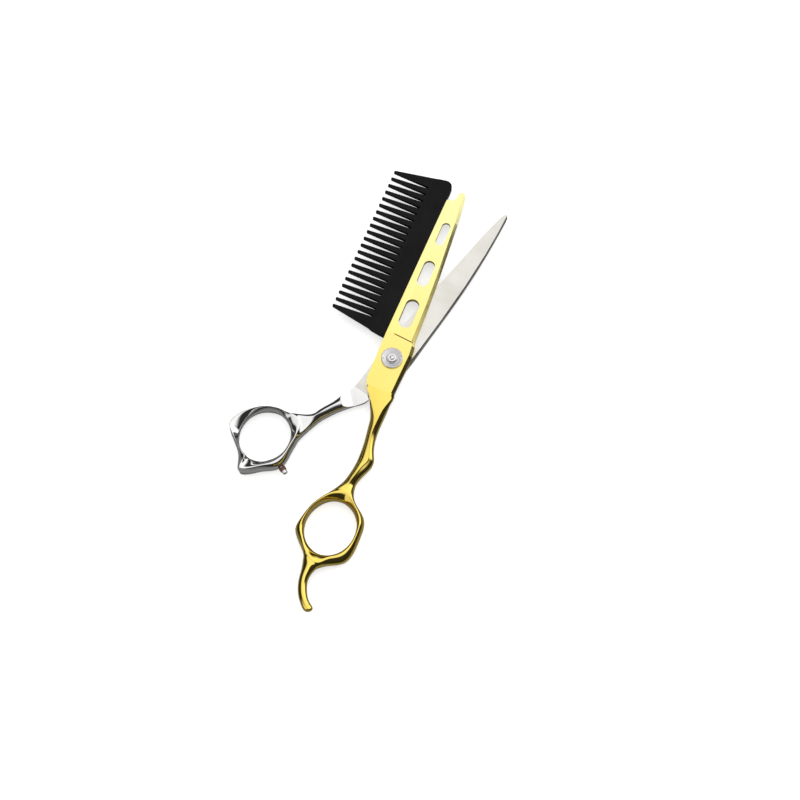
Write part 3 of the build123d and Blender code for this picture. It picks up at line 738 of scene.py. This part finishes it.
# %% Steels
BLADE_TURN = math.radians(14.8)
satin_steel = finish("satin_steel", (0.78, 0.76, 0.70), 1.0, 0.36)
tint(satin_steel, grain(satin_steel, 60, turn=BLADE_TURN), (0.72, 0.70, 0.64), (0.84, 0.825, 0.77))
dull(satin_steel, grain(satin_steel, 250, stretch=(0.1, 4, 4), turn=BLADE_TURN), 0.30, 0.42)
relief(satin_steel, grain(satin_steel, 1100, stretch=(0.04, 3, 1), turn=BLADE_TURN), 0.01 * MM)
mirror_steel = finish("mirror_steel", (0.86, 0.85, 0.84), 1.0, 0.05)
dull(mirror_steel, grain(mirror_steel, 300), 0.03, 0.08)
tint(mirror_steel, grain(mirror_steel, 50), (0.80, 0.795, 0.78), (0.90, 0.895, 0.89))
dial_steel = finish("turned_steel", (0.70, 0.68, 0.69), 1.0, 0.25)
dial_tree = dial_steel.node_tree
dial_shader = dial_tree.nodes["Principled BSDF"]
dial_shader.inputs["Anisotropic"].default_value = 0.6
dial_shader.inputs["Anisotropic Rotation"].default_value = 0.25
round_way = dial_tree.nodes.new("ShaderNodeTangent")
round_way.direction_type = "RADIAL"
round_way.axis = "Z"
dial_tree.links.new(round_way.outputs["Tangent"], dial_shader.inputs["Tangent"])
rings = dial_tree.nodes.new("ShaderNodeTexWave")
rings.wave_type = "RINGS"
rings.rings_direction = "Z"
rings.inputs["Scale"].default_value = 1600
rings.inputs["Distortion"].default_value = 0.4
ring_place = dial_tree.nodes.new("ShaderNodeTexCoord")
dial_tree.links.new(ring_place.outputs["Object"], rings.inputs["Vector"])
relief(dial_steel, rings.outputs["Fac"], 0.003 * MM)
tint(dial_steel, grain(dial_steel, 200), (0.62, 0.60, 0.62), (0.76, 0.75, 0.75))
dull(dial_steel, grain(dial_steel, 500), 0.2, 0.28)
bronze = finish("bronze", (0.55, 0.33, 0.14), 1.0, 0.35)
dull(bronze, grain(bronze, 600), 0.28, 0.42)
spring_steel = finish("spring_steel", (0.42, 0.43, 0.46), 1.0, 0.3)
dull(spring_steel, grain(spring_steel, 600), 0.24, 0.4)

# %% [markdown]
# ### Plastic and rubber
# The comb is a moulded black plastic with a slight texture from its mould, and it is made less shiny
# than most plastics. The washers are nylon, and the stop has a reddish brown rubber pad.

# %% Plastic and rubber
comb_plastic = finish("comb_plastic", (0.008, 0.008, 0.008), 0.0, 0.45)
comb_plastic.node_tree.nodes["Principled BSDF"].inputs["Specular IOR Level"].default_value = 0.12
tint(comb_plastic, grain(comb_plastic, 120), (0.005, 0.005, 0.0053), (0.009, 0.009, 0.0095))
dull(comb_plastic, grain(comb_plastic, 900), 0.40, 0.52)
relief(comb_plastic, grain(comb_plastic, 5000, detail=1), 0.01 * MM)
nylon = finish("nylon", (0.75, 0.73, 0.68), 0.0, 0.5)
dull(nylon, grain(nylon, 900), 0.42, 0.56)
stop_rubber = finish("stop_rubber", (0.16, 0.06, 0.04), 0.0, 0.5)
tint(stop_rubber, grain(stop_rubber, 700), (0.12, 0.045, 0.03), (0.2, 0.08, 0.055))

# %% Every piece gets its finish
FINISHES = {
    "finger_blade": gold_ground, "finger_handle": gold_cast, "thumb_blade": satin_steel,
    "thumb_handle": mirror_steel, "tension_dial": dial_steel, "pivot_bolt": mirror_steel,
    "stop_stud": mirror_steel, "pivot_bush": bronze, "click_spring": spring_steel,
    "dial_washer": nylon, "ride_washer": nylon, "stop_pad": stop_rubber, "comb": comb_plastic,
}
for name, look in FINISHES.items():
    if not nodes[name].material_slots:
        nodes[name].data.materials.append(look)
    for slot in nodes[name].material_slots:
        slot.material = look
shaped_again = {finger_handle: gold_cast, thumb_handle: mirror_steel, dial: dial_steel, bolt: mirror_steel}
for piece, look in shaped_again.items():
    piece.data.materials.clear()
    piece.data.materials.append(look)
print("finishes", len(set(FINISHES.values())))
